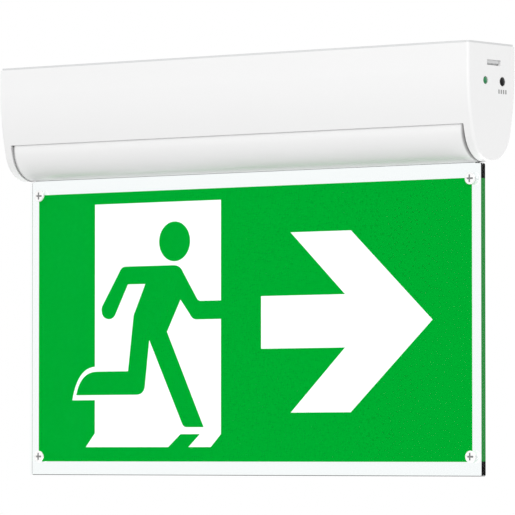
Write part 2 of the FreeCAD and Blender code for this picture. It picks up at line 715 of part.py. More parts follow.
def clamp_bosses(body, side):
    """Bosses for the screws that clamp the two halves on the panel's neck; they end in the shell."""
    start = PANEL_HALF_THICK
    radius = SIZE["barrel_radius"]
    bosses = new_sketch(body, "XZ_Plane", -start * side)
    for x in clamp_places():
        draw_circle(bosses, x, CLAMP_Z, SIZE["boss_radius"])
    end = chord(radius, SIZE["clamp_drop"] + SIZE["boss_radius"]) - SIZE["boss_sink"]
    pad(body, bosses, end - start, back=side > 0)
    holes = new_sketch(body, "XZ_Plane", -start * side)
    for x in clamp_places():
        draw_circle(holes, x, CLAMP_Z, SIZE["clamp_shank_radius"] + (0.05 if side < 0 else 0.45))
    if side < 0:
        pocket(body, holes, 7.0, back=True)
        return
    pocket(body, holes, radius)
    seats = new_sketch(body, "XZ_Plane", -clamp_seat())
    for x in clamp_places():
        draw_circle(seats, x, CLAMP_Z, SIZE["clamp_head_radius"] + SIZE["clamp_head_play"])
    pocket(body, seats, radius)


def clamp_screws():
    """Four screws driven from the rear into the front half of the barrel."""
    body = new_body("clamp_screws")
    seat = clamp_seat()
    head = new_sketch(body, "XZ_Plane", -seat)
    shank = new_sketch(body, "XZ_Plane", -seat)
    start = clamp_places()[0]
    draw_circle(head, start, CLAMP_Z, SIZE["clamp_head_radius"])
    draw_circle(shank, start, CLAMP_Z, SIZE["clamp_shank_radius"])
    first = pad(body, head, SIZE["clamp_head_height"], back=True)
    second = pad(body, shank, seat + PANEL_HALF_THICK + 6.0)
    pattern(body, [first, second], head, "H_Axis", SIZE["clamp_spacing"] * 3, 4)


# ---------------------------------------------------------------- lamp board
def lamp_board():
    """Board that rests on the jaws and carries the lamps over the panel's edge."""
    body = new_body("lamp_board")
    half = SIZE["lamp_board_length"] / 2
    width = SIZE["lamp_board_width"] / 2
    box(body, -half, half, -width, width, JAW_TOP_Z, LAMP_BOARD_TOP_Z)


def lamp_packages():
    """Row of lamps under the board, shining down into the panel's neck."""
    body = new_body("lamp_packages")
    half = SIZE["lamp_size"] / 2
    start = SIZE["lamp_pitch"] * -7
    first = box(body, start - half, start + half, -half, half, JAW_TOP_Z - SIZE["lamp_height"], JAW_TOP_Z)
    along = new_sketch(body, "XY_Plane")
    draw_circle(along, ZERO, ZERO, 1.0)
    pattern(body, [first], along, "H_Axis", SIZE["lamp_pitch"] * 14, 15)


def lamp_plug():
    """Plug under the right end of the lamp board, on the barrel's axis."""
    body = new_body("lamp_plug")
    start = SIZE["neck_half_width"] + 1.2
    box(body, start, PLUG_FACE_X, -2.6, 2.6, AXIS_Z - 2.0, JAW_TOP_Z)


# ---------------------------------------------------------------- legend panel
def panel_outline(sketch):
    """Wide sheet with round corners and a narrower neck that goes up into the barrel."""
    half, corner = SIZE["panel_width"] / 2, SIZE["panel_corner"]
    neck, foot = SIZE["neck_half_width"], SIZE["neck_foot_half_width"]
    low, high, top = PANEL_BOTTOM_Z, PANEL_SHOULDER_Z, NECK_TOP_Z
    step = AXIS_Z - SIZE["neck_foot_drop"]
    draw_loop(sketch, [(half - corner, low),
                       (half, low + corner, half - corner, low + corner, 1),
                       (half, high - corner),
                       (half - corner, high, half - corner, high - corner, 1),
                       (foot, high), (foot, step), (neck, step), (neck, top),
                       (-neck, top), (-neck, step), (-foot, step), (-foot, high),
                       (corner - half, high),
                       (-half, high - corner, corner - half, high - corner, 1),
                       (-half, low + corner),
                       (corner - half, low, corner - half, low + corner, 1)])


def panel_sheet(name, side):
    """One of the two clear sheets, with holes for the corner and clamp screws."""
    body = new_body(name)
    outline = new_sketch(body, "XZ_Plane", -FILM_HALF_THICK * side)
    panel_outline(outline)
    pad(body, outline, SIZE["sheet_thick"], back=side > 0)
    holes = new_sketch(body, "XZ_Plane")
    for x in (-CORNER_X, CORNER_X):
        for z in (CORNER_LOW_Z, LEGEND_TOP_Z):
            draw_circle(holes, x, z, SIZE["corner_hole_radius"])
    for x in clamp_places():
        draw_circle(holes, x, CLAMP_Z, SIZE["clamp_shank_radius"] + 0.7)
    pocket(body, holes, PANEL_HALF_THICK * 2 + 2.0, both=True)


def legend_film():
    """Printed film between the sheets, notched round the corner screws."""
    body = new_body("legend_film")
    film = new_sketch(body, "XZ_Plane")
    draw_rectangle(film, -CORNER_X, CORNER_X, LEGEND_BOTTOM_Z, LEGEND_TOP_Z)
    pad(body, film, SIZE["film_thick"], both=True)
    notches = new_sketch(body, "XZ_Plane")
    for x in (-CORNER_X, CORNER_X):
        for z in (CORNER_LOW_Z, LEGEND_TOP_Z):
            draw_circle(notches, x, z, SIZE["corner_hole_radius"] + 0.3)
    pocket(body, notches, SIZE["film_thick"] + 2.0, both=True)


def corner_screws():
    """Four flat head screws with cross recesses that hold the sheets together."""
    body = new_body("corner_screws")
    radius, height = SIZE["corner_head_radius"], SIZE["corner_head_height"]
    bevel = SIZE["corner_head_bevel"]
    seat = -PANEL_HALF_THICK
    crown = seat - height
    back = PANEL_HALF_THICK + 0.6
    profile = new_sketch(body, "YZ_Plane")
    draw_loop(profile, [(seat, ZERO), (back, ZERO), (back, 1.4), (seat, 1.4), (seat, radius),
                        (crown + bevel, radius), (crown, radius - bevel), (crown, ZERO)])
    turned = revolve(body, profile)
    recess = new_sketch(body, "XZ_Plane", -crown)
    arm, half = SIZE["corner_recess_arm"], SIZE["corner_recess_half"]
    draw_loop(recess, [(-arm, -half), (-half, -half), (-half, -arm), (half, -arm), (half, -half), (arm, -half),
                       (arm, half), (half, half), (half, arm), (-half, arm), (-half, half), (-arm, half)])
    cut = pocket(body, recess, SIZE["corner_recess_depth"])
    pattern(body, [turned, cut], recess, "H_Axis", CORNER_X * 2, 2, ("V_Axis", CORNER_RISE, 2))
    set_place(body, x=-CORNER_X, z=CORNER_LOW_Z)


def corner_nuts():
    """Four round nuts behind the panel that take the corner screws."""
    body = new_body("corner_nuts")
    profile = new_sketch(body, "YZ_Plane")
    inner, outer = PANEL_HALF_THICK, PANEL_HALF_THICK + SIZE["corner_nut_height"]
    radius = SIZE["corner_head_radius"]
    screw_end = PANEL_HALF_THICK + 0.6
    draw_loop(profile, [(inner, 1.4), (screw_end, 1.4), (screw_end, ZERO), (outer, ZERO),
                        (outer, radius * 0.7), (outer - 0.6, radius), (inner, radius)])
    turned = revolve(body, profile)
    along = new_sketch(body, "XZ_Plane")
    draw_circle(along, ZERO, ZERO, 1.0)
    pattern(body, [turned], along, "H_Axis", CORNER_X * 2, 2, ("V_Axis", CORNER_RISE, 2))
    set_place(body, x=-CORNER_X, z=CORNER_LOW_Z)


# ---------------------------------------------------------------- driver electronics
def driver_board():
    """Circuit board on the four bosses of the cover."""
    body = new_body("driver_board")
    half = SIZE["board_width"] / 2
    box(body, BOARD_LEFT, BOARD_RIGHT, -half, half, BOARD_BOTTOM_Z, BOARD_TOP_Z)
    holes = new_sketch(body, "XY_Plane", BOARD_TOP_Z)
    xs, ys = board_hole_places()
    for x in xs:
        for y in ys:
            draw_circle(holes, x, y, SIZE["board_hole_radius"])
    pocket(body, holes, SIZE["board_thick"] + 1.0)


def board_screws():
    """Four screws that hold the driver board down."""
    body = new_body("board_screws")
    xs, ys = board_hole_places()
    heads = new_sketch(body, "XY_Plane", BOARD_TOP_Z)
    shanks = new_sketch(body, "XY_Plane", BOARD_TOP_Z)
    draw_circle(heads, xs[0], ys[0], SIZE["board_screw_head_radius"])
    draw_circle(shanks, xs[0], ys[0], SIZE["board_screw_radius"])
    first = pad(body, heads, SIZE["board_screw_head_height"])
    second = pad(body, shanks, SIZE["board_screw_length"], back=True)
    pattern(body, [first, second], heads, "H_Axis", xs[1] - xs[0], 2, ("V_Axis", ys[1] - ys[0], 2))


def transformer():
    """Wound transformer: bobbin foot, ferrite core and taped winding."""
    body = new_body("transformer")
    middle = BOARD_LEFT + 44.0
    foot = BOARD_TOP_Z + 3.0
    box(body, middle - 11.0, middle + 11.0, -10.5, 10.5, BOARD_TOP_Z, foot)
    box(body, middle - 10.0, middle + 10.0, -6.0, 6.0, foot, BOARD_TOP_Z + 16.0)
    box(body, middle - 6.5, middle + 6.5, -9.0, 9.0, foot, BOARD_TOP_Z + 13.0)


def capacitor(name, x, y, radius, height):
    """Can capacitor with its rolled neck."""
    body = new_body(name)
    can = new_sketch(body, "XZ_Plane")
    draw_loop(can, [(ZERO, ZERO), (radius - 0.3, ZERO), (radius, 0.5), (radius, 1.8), (radius - 0.5, 2.3),
                    (radius, 2.8), (radius, height - 0.5), (radius - 0.5, height), (ZERO, height)])
    revolve(body, can, "V_Axis")
    set_place(body, x, y, BOARD_TOP_Z)


def socket_block(name, x, y):
    """Wire socket on the driver board."""
    body = new_body(name)
    end = x + SIZE["socket_length"]
    near = as_size(y) - SIZE["socket_width"] / 2
    far = as_size(y) + SIZE["socket_width"] / 2
    top = BOARD_TOP_Z + SIZE["socket_height"]
    box(body, x, end, near, far, BOARD_TOP_Z, top)
    mouth = new_sketch(body, "XY_Plane", top)
    draw_rectangle(mouth, x + SIZE["socket_wall"], end - SIZE["socket_wall"], near + 0.8, far - 0.8)
    pocket(body, mouth, 1.0)


def test_switch():
    """Push switch lying on the board, with a blind bore for the button's stem."""
    body = new_body("test_switch")
    back, front = BOARD_RIGHT - 5.5, BOARD_RIGHT - 0.5
    box(body, back, front, SIZE["button_y"] - 3.0, SIZE["button_y"] + 3.0, BOARD_TOP_Z, CONTROL_Z + 3.0)
    bore = new_sketch(body, "YZ_Plane", front)
    draw_circle(bore, SIZE["button_y"], CONTROL_Z, 1.28)
    pocket(body, bore, 4.2)


def test_button():
    """Button in the right end: domed cap, flange inside the wall and stem in the switch."""
    body = new_body("test_button")
    inner_wall = CHEEK_POCKET_OUT
    cap = SIZE["button_radius"]
    tip = HALF_LENGTH + SIZE["button_rise"]
    dome = tip - SIZE["button_dome_radius"]
    rim = dome + chord(SIZE["button_dome_radius"], cap)
    stem_end = BOARD_RIGHT - 0.5 - 3.0
    profile = new_sketch(body, "XZ_Plane")
    draw_loop(profile, [(stem_end, ZERO), (tip, ZERO), (rim, cap, dome, ZERO, 1),
                        (inner_wall - 0.1, cap), (inner_wall - 0.1, cap + 1.0),
                        (inner_wall - 0.9, cap + 1.0), (inner_wall - 0.9, 1.2), (stem_end, 1.2)])
    revolve(body, profile)
    set_place(body, y=SIZE["button_y"], z=CONTROL_Z)


def indicator():
    """Green indicator lamp that shines through the right end, and its holder on the board."""
    lamp = new_body("indicator_lamp")
    radius = SIZE["indicator_radius"]
    tip = HALF_LENGTH + SIZE["indicator_rise"]
    dome = tip - SIZE["indicator_dome_radius"]
    rim = dome + chord(SIZE["indicator_dome_radius"], radius)
    start = BOARD_RIGHT - 4.0
    profile = new_sketch(lamp, "XZ_Plane")
    draw_loop(profile, [(start, ZERO), (tip, ZERO), (rim, radius, dome, ZERO, 1), (start, radius)])
    revolve(lamp, profile)
    set_place(lamp, y=SIZE["indicator_y"], z=CONTROL_Z)
    holder = new_body("indicator_holder")
    box(holder, BOARD_RIGHT - 6.0, BOARD_RIGHT - 0.5, SIZE["indicator_y"] - 3.0, SIZE["indicator_y"] + 3.0,
        BOARD_TOP_Z, CONTROL_Z + 3.0)
    bore = new_sketch(holder, "YZ_Plane", BOARD_RIGHT - 0.5)
    draw_circle(bore, SIZE["indicator_y"], CONTROL_Z, radius + 0.05)
    pocket(holder, bore, 3.5)


def battery_pack():
    """Stick of cells in heat-shrink sleeve."""
    body = new_body("battery_pack")
    radius, start = SIZE["battery_radius"], SIZE["battery_x"]
    end = start + SIZE["battery_length"]
    profile = new_sketch(body, "XZ_Plane")
    draw_loop(profile, [(start, ZERO), (end, ZERO), (end, radius - 0.8), (end - 0.8, radius),
                        (start + 0.8, radius), (start, radius - 0.8)])
    revolve(body, profile)
    set_place(body, z=BATTERY_Z)


def terminal_block():
    """Three-pole terminal block under the base, and its clamp screws."""
    body = new_body("terminal_block")
    start = SIZE["cable_hole_x"] + SIZE["cable_hole_radius"] + SIZE["terminal_gap"]
    end = start + SIZE["terminal_length"]
    middle = start + SIZE["terminal_length"] / 2
    half = SIZE["terminal_width"] / 2
    low = TRAY_BOTTOM - SIZE["terminal_height"]
    box(body, start, end, -half, half, low, TRAY_BOTTOM)
    entries = new_sketch(body, "YZ_Plane", start)
    screws = new_sketch(body, "XY_Plane", low)
    seat_radius = SIZE["terminal_screw_radius"] + SIZE["terminal_screw_room"]
    for y in (-SIZE["terminal_pitch"], ZERO, SIZE["terminal_pitch"]):
        draw_rectangle(entries, y - seat_radius, y + seat_radius, TRAY_BOTTOM - 8.0, TRAY_BOTTOM - 3.5)
        draw_circle(screws, middle, y, seat_radius)
    pocket(body, entries, 5.0, back=True)
    pocket(body, screws, 2.0, back=True)
    heads = new_body("terminal_screws")
    first_head = new_sketch(heads, "XY_Plane", low + 0.6)
    draw_circle(first_head, middle, -SIZE["terminal_pitch"], SIZE["terminal_screw_radius"])
    first = pad(heads, first_head, 1.4)
    pattern(heads, [first], first_head, "V_Axis", SIZE["terminal_pitch"] * 2, 3)


# ---------------------------------------------------------------- internal leads
def lead(name, y, points, radius):
    """Round lead along a route in an upright plane, its corners rounded."""
    body = new_body(name)
    route = new_sketch(body, "XZ_Plane", -as_size(y))
    draw_path(route, points)
    end = new_sketch(body, "YZ_Plane", as_size(points[0][0]))
    draw_circle(end, y, points[0][1], radius)
    doc.recompute()
    made = feature(body, "AdditivePipe", end)
    made.Spine = (route, ["Edge%d" % (n + 1) for n in range(len(points) - 1)])
    checked(body, made, True)


def lamp_lead():
    """From the driver board down the right cheek and along the pivot's axis to the lamp plug."""
    small, wide = 2.6, 4.0
    drop_x = CHEEK_POCKET_OUT - SIZE["lead_radius"] - 0.05
    start_x = BOARD_RIGHT - 9.0
    start_z = BOARD_TOP_Z + 2.5
    lead("lamp_lead", 0.0,
         [(start_x, start_z), (drop_x - wide, start_z),
          (drop_x, start_z - wide, drop_x - wide, start_z - wide, -1),
          (drop_x, AXIS_Z + small),
          (drop_x - small, AXIS_Z, drop_x - small, AXIS_Z + small, -1),
          (PLUG_FACE_X + SIZE["lead_gap"], AXIS_Z)], SIZE["lead_radius"])


def level_lead(name, y, x0, z0, x1, z1):
    """Lead between two faces at different heights: level, down, level."""
    turn = 2.5
    middle = (as_size(x0) + x1) / 2
    lead(name, y,
         [(x0, z0), (middle - turn, z0), (middle, as_size(z0) - turn, middle - turn, as_size(z0) - turn, -1),
          (middle, as_size(z1) + turn), (middle + turn, z1, middle + turn, as_size(z1) + turn, 1),
          (x1, z1)], SIZE["lead_radius"])


# ---------------------------------------------------------------- the whole light
housing_cover()
mounting_base()
pivot_parts(-1, "left")
pivot_parts(1, "right")
barrel_half("barrel_front", -1)
barrel_half("barrel_rear", 1)
clamp_screws()
lamp_board()
lamp_packages()
lamp_plug()
panel_sheet("panel_front", -1)
panel_sheet("panel_rear", 1)
legend_film()
corner_screws()
corner_nuts()
driver_board()
board_screws()
transformer()
capacitor("capacitor_input", BOARD_LEFT + 22.0, 6.0, as_size(5.0), as_size(16.0))
capacitor("capacitor_output", BOARD_LEFT + 72.0, -6.0, as_size(4.0), as_size(12.0))
socket_block("supply_socket", BOARD_LEFT + 1.0, 6.0)
socket_block("battery_socket", BOARD_LEFT + 1.0, -6.0)
socket_block("lamp_socket", BOARD_RIGHT - 17.0, 0.0)
test_switch()
test_button()
indicator()
battery_pack()
terminal_block()
lamp_lead()
level_lead("supply_lead", 6.0,
           SIZE["cable_hole_x"] + SIZE["cable_hole_radius"] + SIZE["terminal_gap"] + SIZE["terminal_length"],
           TRAY_BOTTOM - 6.0,
           BOARD_LEFT + 1.0, BOARD_TOP_Z + 2.5)
level_lead("battery_lead", -5.0, SIZE["battery_x"] + SIZE["battery_length"], BATTERY_Z,
           BOARD_LEFT + 1.0, BOARD_TOP_Z + 2.5)

doc.recompute()
for item in doc.Objects:
    if "Invalid" in item.State or "Error" in item.State:
        raise RuntimeError("%s failed: %s" % (item.Name, item.State))
for body in SUB_PARTS:
    if body.Shape.isNull() or not body.Shape.isValid():
        raise RuntimeError("%s has no sound shape" % body.Label)
os.makedirs("parts", exist_ok=True)
for body in SUB_PARTS:
    body.Shape.exportStep("parts/%s.step" % body.Label)
    print("%-24s %2d solids %10.1f mm3" % (body.Label, len(body.Shape.Solids), body.Shape.Volume))
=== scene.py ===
import math

import bpy
import numpy as np
from mathutils import Matrix, Vector
from mathutils.geometry import tessellate_polygon


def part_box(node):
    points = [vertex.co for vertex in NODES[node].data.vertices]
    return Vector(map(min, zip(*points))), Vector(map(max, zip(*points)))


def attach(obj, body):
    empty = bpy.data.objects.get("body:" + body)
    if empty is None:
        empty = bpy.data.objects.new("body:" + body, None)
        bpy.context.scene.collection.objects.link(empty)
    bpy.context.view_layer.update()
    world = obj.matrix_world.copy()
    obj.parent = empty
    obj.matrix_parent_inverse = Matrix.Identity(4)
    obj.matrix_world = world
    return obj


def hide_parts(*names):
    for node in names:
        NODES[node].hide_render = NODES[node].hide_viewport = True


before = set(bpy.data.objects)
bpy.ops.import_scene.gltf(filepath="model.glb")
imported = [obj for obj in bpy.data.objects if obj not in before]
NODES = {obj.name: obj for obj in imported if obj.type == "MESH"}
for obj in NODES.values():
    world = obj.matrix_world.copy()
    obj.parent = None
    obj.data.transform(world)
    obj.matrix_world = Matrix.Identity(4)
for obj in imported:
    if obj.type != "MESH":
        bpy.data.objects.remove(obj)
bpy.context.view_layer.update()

MM = 0.001
CORNER_X = 150.0 * MM                   # from the panel's middle to its corner screws


# ---------------------------------------------------------------- node helper and colours
def add_node(tree, kind, links=None, **settings):
    """Adds one node: settings are its attributes, links gives each input a value, an output, or a
    node whose first output is meant."""
    made = tree.nodes.new(kind)
    for name, value in settings.items():
        setattr(made, name, value)
    for name, value in (links or {}).items():
        if isinstance(value, bpy.types.Node):
            value = value.outputs[0]
        if isinstance(value, bpy.types.NodeSocket):
            tree.links.new(value, made.inputs[name])
        else:
            made.inputs[name].default_value = value
    return made


def linear(hex_colour, alpha=1.0):
    """sRGB hex text to a linear colour with alpha."""
    parts = np.array([int(hex_colour[n:n + 2], 16) for n in (0, 2, 4)]) / 255.0
    made = np.where(parts <= 0.04045, parts / 12.92, ((parts + 0.055) / 1.055) ** 2.4)
    return (*made.tolist(), alpha)


# ---------------------------------------------------------------- finishes
def new_material(name):
    """An empty node material and its output node."""
    made = bpy.data.materials.new(name)
    made.use_nodes = True
    made.node_tree.nodes.clear()
    return made, made.node_tree, add_node(made.node_tree, "ShaderNodeOutputMaterial")


def surface_grain(tree, grain_mm, height_mm, strength):
    """Bump from a fine noise: grain_mm is the size of one grain, height_mm its height."""
    place = add_node(tree, "ShaderNodeTexCoord")
    grain = add_node(tree, "ShaderNodeTexNoise",
                     {"Vector": place.outputs["Object"], "Scale": 1.0 / (grain_mm * MM), "Detail": 2.0})
    return add_node(tree, "ShaderNodeBump",
                    {"Height": grain.outputs["Fac"], "Distance": height_mm * MM, "Strength": strength})


def tone_change(tree, low, high, patch_mm):
    """Slow drift between two hex colours over patches of patch_mm."""
    place = add_node(tree, "ShaderNodeTexCoord")
    cloud = add_node(tree, "ShaderNodeTexNoise",
                     {"Vector": place.outputs["Object"], "Scale": 1.0 / (patch_mm * MM), "Detail": 3.0})
    return add_node(tree, "ShaderNodeMix", {0: cloud.outputs["Fac"], 6: linear(low), 7: linear(high)},
                    data_type="RGBA")


def finish_of(name, low, high, patch_mm, grain_mm, height_mm, strength, **sockets):
    """A solid finish: two close tones, a fine surface grain, and the shader's own plain numbers."""
    made, tree, out = new_material(name)
    tone = tone_change(tree, low, high, patch_mm)
    grain = surface_grain(tree, grain_mm, height_mm, strength)
    values = {"Base Color": tone.outputs[2], "Normal": grain.outputs["Normal"]}
    values.update({key.replace("_", " "): value for key, value in sockets.items()})
    shader = add_node(tree, "ShaderNodeBsdfPrincipled", values)
    tree.links.new(shader.outputs["BSDF"], out.inputs["Surface"])
    return made


def retone(made, share, hex_colour):
    """Mixes a colour into a finish's base colour by share."""
    tree = made.node_tree
    shader = next(node for node in tree.nodes if node.bl_idname == "ShaderNodeBsdfPrincipled")
    plain = shader.inputs["Base Color"].links[0].from_socket
    tone = add_node(tree, "ShaderNodeMix", {0: share, 6: plain, 7: linear(hex_colour)}, data_type="RGBA")
    tree.links.new(tone.outputs[2], shader.inputs["Base Color"])


def barrel_abs():
    """The housing's white plastic on the barrel, with painted shade greying it close to each end, where it
    runs beside the cheek."""
    # width and strength of the painted shade at each end of the barrel
    painted_shade_width = 2.0 * MM
    painted_shade_share = 0.7
    made = finish_of("barrel_white_abs_painted_end_shade", "F1F1F1", "F3F3F3", patch_mm=60.0, grain_mm=0.9,
                     height_mm=0.004, strength=0.10, Roughness=0.22, IOR=1.53)
    tree = made.node_tree
    low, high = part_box("barrel_front")
    half = (high.x - low.x) / 2
    place = add_node(tree, "ShaderNodeTexCoord").outputs["Object"]
    at = add_node(tree, "ShaderNodeSeparateXYZ", {"Vector": place}).outputs
    off = add_node(tree, "ShaderNodeMath", {0: at["X"], 1: (low.x + high.x) / 2}, operation="SUBTRACT")
    from_middle = add_node(tree, "ShaderNodeMath", {0: off}, operation="ABSOLUTE")
    painted_end_shade = add_node(tree, "ShaderNodeMapRange",
                        {"Value": from_middle, "From Min": half - painted_shade_width, "From Max": half,
                         "To Min": 0.0, "To Max": painted_shade_share}, interpolation_type="SMOOTHSTEP")
    # painted shade: dark grey mixed in towards each end of the barrel
    retone(made, painted_end_shade, "303030")
    return made


def screw_nylon():
    """White nylon of the panel's screws, with a faint painted glow standing in for light through the sheets.
    The cross recess is painted grey as shade within recess_reach of each screw's middle, from just under the
    head's face down to its floor."""
    recess_top = 0.08 * MM
    recess_floor = 0.70 * MM
    # the emission here is a faint painted glow
    made = finish_of("white_nylon", "EFEFEE", "F3F3F2", patch_mm=4.0, grain_mm=0.3, height_mm=0.003,
                     strength=0.1, Roughness=0.42, IOR=1.53,
                     Emission_Color=linear("FFFFFF"), Emission_Strength=0.1)
    tree = made.node_tree
    low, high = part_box("corner_screws")
    head = (high.x - low.x) / 2 - CORNER_X
    half_high = (high.z - low.z) / 2
    recess_reach = 0.62 * head
    place = add_node(tree, "ShaderNodeTexCoord").outputs["Object"]
    at = add_node(tree, "ShaderNodeSeparateXYZ", {"Vector": place}).outputs
    # Centred on the panel, flattened, and folded into one quarter, so that one screw stands for four.
    centred = add_node(tree, "ShaderNodeVectorMath",
                       {0: place, 1: (1.0, 0.0, 1.0), 2: (-(low.x + high.x) / 2, 0.0, -(low.z + high.z) / 2)},
                       operation="MULTIPLY_ADD")
    folded = add_node(tree, "ShaderNodeVectorMath", {0: centred}, operation="ABSOLUTE")
    from_screw = add_node(tree, "ShaderNodeVectorMath", {0: folded, 1: (CORNER_X, 0.0, half_high - head)},
                          operation="DISTANCE").outputs["Value"]
    inside = add_node(tree, "ShaderNodeMath", {0: from_screw, 1: recess_reach}, operation="LESS_THAN")
    in_recess = add_node(tree, "ShaderNodeMath",
                         {0: at["Y"], 1: low.y + (recess_top + recess_floor) / 2,
                          2: (recess_floor - recess_top) / 2}, operation="COMPARE")
    painted_recess_shade = add_node(tree, "ShaderNodeMath", {0: inside, 1: in_recess}, operation="MULTIPLY")
    # painted shade: grey mixed into the cross recess
    retone(made, painted_recess_shade, "6A6A6A")
    return made


def clear_acrylic():
    """Cast acrylic sheet with a thin anti-glare face: it shows gloss only at a low angle. The sawn rim is
    painted with the reflection it would gather from inside the sheet: green beside the print, near black
    beside the margins."""
    side_depth = 0.2 * MM               # the rim is this deep at the sides
    foot_depth = 0.3 * MM               # and this deep along the foot
    shoulder_rise = 4.0 * MM            # the shoulders start this far above the film
    gap_half = 0.2 * MM                 # half of the seam between the two sheets
    made, tree, out = new_material("cast_acrylic_sheet")
    made.surface_render_method = "BLENDED"
    (low, high), (film_low, film_high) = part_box("panel_front"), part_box("legend_film")
    place = add_node(tree, "ShaderNodeTexCoord").outputs["Object"]
    at = add_node(tree, "ShaderNodeSeparateXYZ", {"Vector": place}).outputs
    shape = add_node(tree, "ShaderNodeNewGeometry").outputs
    # The face's direction on the piece itself, so that the rim stays right when the panel swings.
    turned = add_node(tree, "ShaderNodeVectorTransform", {"Vector": shape["True Normal"]},
                      vector_type="NORMAL", convert_from="WORLD", convert_to="OBJECT")
    facing = add_node(tree, "ShaderNodeSeparateXYZ", {"Vector": turned}).outputs
    edgewise = add_node(tree, "ShaderNodeMath", {0: facing["Y"], 1: 0.0, 2: 0.5}, operation="COMPARE")
    in_gap = add_node(tree, "ShaderNodeMath", {0: at["Y"], 1: 0.0, 2: gap_half}, operation="COMPARE")
    sawn_side = add_node(tree, "ShaderNodeMath", {0: edgewise, 1: in_gap}, operation="MAXIMUM")

    inner = add_node(tree, "ShaderNodeMath",
                     {0: at["X"], 1: (low.x + high.x) / 2, 2: (high.x - low.x) / 2 - side_depth},
                     operation="COMPARE")
    raised = add_node(tree, "ShaderNodeMath", {0: at["Z"], 1: low.z + foot_depth}, operation="GREATER_THAN")
    off_rim = add_node(tree, "ShaderNodeMath", {0: inner, 1: raised}, operation="MULTIPLY")
    at_rim = add_node(tree, "ShaderNodeMath", {0: 1.0, 1: off_rim}, operation="SUBTRACT")
    above = add_node(tree, "ShaderNodeMath", {0: at["Z"], 1: film_high.z + shoulder_rise},
                     operation="GREATER_THAN")
    shoulder = add_node(tree, "ShaderNodeMath", {0: above, 1: edgewise}, operation="MULTIPLY")
    rim = add_node(tree, "ShaderNodeMath", {0: at_rim, 1: shoulder}, operation="MAXIMUM")
    sawn_rim = add_node(tree, "ShaderNodeMath", {0: rim, 1: sawn_side}, operation="MULTIPLY")
    outside = add_node(tree, "ShaderNodeMath", {0: 1.0, 1: shape["Backfacing"]}, operation="SUBTRACT")
    shown = add_node(tree, "ShaderNodeMath", {0: sawn_rim, 1: outside}, operation="MULTIPLY")

    # painted reflection on the sawn rim: green beside the print, near black beside the margins
    beside = add_node(tree, "ShaderNodeMath",
                      {0: at["Z"], 1: (film_low.z + film_high.z) / 2, 2: (film_high.z - film_low.z) / 2},
                      operation="COMPARE")
    painted_rim_reflection = add_node(tree, "ShaderNodeMix", {0: beside, 6: linear("060807"), 7: linear("2B8A3E")},
                         data_type="RGBA").outputs[2]
    slant = add_node(tree, "ShaderNodeLayerWeight", {"Blend": 0.5, "Normal": shape["True Normal"]})
    gloss_share = add_node(tree, "ShaderNodeMath", {0: slant.outputs["Facing"], 1: 5.0}, operation="POWER")
    through = add_node(tree, "ShaderNodeBsdfTransparent", {"Color": linear("FDFEFE")})
    gloss = add_node(tree, "ShaderNodeBsdfGlossy", {"Roughness": 0.08, "Normal": shape["True Normal"]})
    face = add_node(tree, "ShaderNodeMixShader", {0: gloss_share, 1: through, 2: gloss})
    sawn = add_node(tree, "ShaderNodeBsdfPrincipled",
                    {"Base Color": painted_rim_reflection, "Roughness": 0.5, "IOR": 1.49, "Specular IOR Level": 0.05})
    both = add_node(tree, "ShaderNodeMixShader", {0: shown, 1: face, 2: sawn})
    tree.links.new(both.outputs["Shader"], out.inputs["Surface"])
    return made


# Injection-moulded ABS from a polished tool: bright white with a soft gloss.
WHITE_ABS = finish_of("moulded_white_abs", "F1F1F1", "F3F3F3", patch_mm=60.0, grain_mm=0.9,
                      height_mm=0.004, strength=0.10, Roughness=0.32, IOR=1.53)
BARREL_ABS = barrel_abs()
# The base is the same plastic from a sparked tool, a little greyer and matt.
GREY_ABS = finish_of("moulded_grey_abs", "D2D3D4", "DADBDB", patch_mm=50.0, grain_mm=0.5,
                     height_mm=0.012, strength=0.3, Roughness=0.55, IOR=1.53)
# Acetal bushes: waxy off-white.
ACETAL = finish_of("turned_acetal", "DAD9D4", "E2E1DC", patch_mm=12.0, grain_mm=0.3,
                   height_mm=0.004, strength=0.1, Roughness=0.38, IOR=1.48)
# Silicone rubber washers: dull black.
RUBBER = finish_of("black_silicone_rubber", "141414", "1C1C1C", patch_mm=6.0, grain_mm=0.2,
                   height_mm=0.01, strength=0.3, Roughness=0.8, IOR=1.41)
# Fibreglass board under green solder mask: satin, with a faint unevenness.
GREEN_BOARD = finish_of("fibreglass_solder_mask", "0E4A20", "13582A", patch_mm=9.0, grain_mm=0.35,
                        height_mm=0.01, strength=0.3, Roughness=0.35, IOR=1.55)
# Aluminium-cored lamp board under white mask.
WHITE_BOARD = finish_of("white_solder_mask", "EDEDE8", "F3F3EE", patch_mm=12.0, grain_mm=0.3,
                        height_mm=0.006, strength=0.2, Roughness=0.4, IOR=1.5)
# Lamp packages: yellow phosphor in clear resin, glowing softly.
PHOSPHOR = finish_of("phosphor_resin", "F2DC8C", "F6E6A8", patch_mm=2.0, grain_mm=0.2,
                     height_mm=0.004, strength=0.2, Roughness=0.25, IOR=1.5,
                     Emission_Color=linear("FFF4DE"), Emission_Strength=2.0)
# Natural nylon wire sockets: warm white and slightly matt.
NYLON = finish_of("natural_nylon", "E4E0D2", "EBE8DC", patch_mm=5.0, grain_mm=0.3,
                  height_mm=0.006, strength=0.2, Roughness=0.5, IOR=1.53)
# Capacitor cans in dark heat-shrunk sleeve.
CAN_SLEEVE = finish_of("capacitor_sleeve", "1B1E2A", "232838", patch_mm=8.0, grain_mm=0.3,
                       height_mm=0.004, strength=0.2, Roughness=0.3, IOR=1.52)
# Ferrite core with polyester tape.
FERRITE = finish_of("taped_ferrite", "2A2A2B", "3A3936", patch_mm=4.0, grain_mm=0.25,
                    height_mm=0.02, strength=0.4, Roughness=0.6, IOR=1.5)
# Yellow heat-shrink film round the cells.
CELL_SLEEVE = finish_of("cell_sleeve", "E0BC33", "E8C748", patch_mm=20.0, grain_mm=0.6,
                        height_mm=0.01, strength=0.2, Roughness=0.28, IOR=1.52)
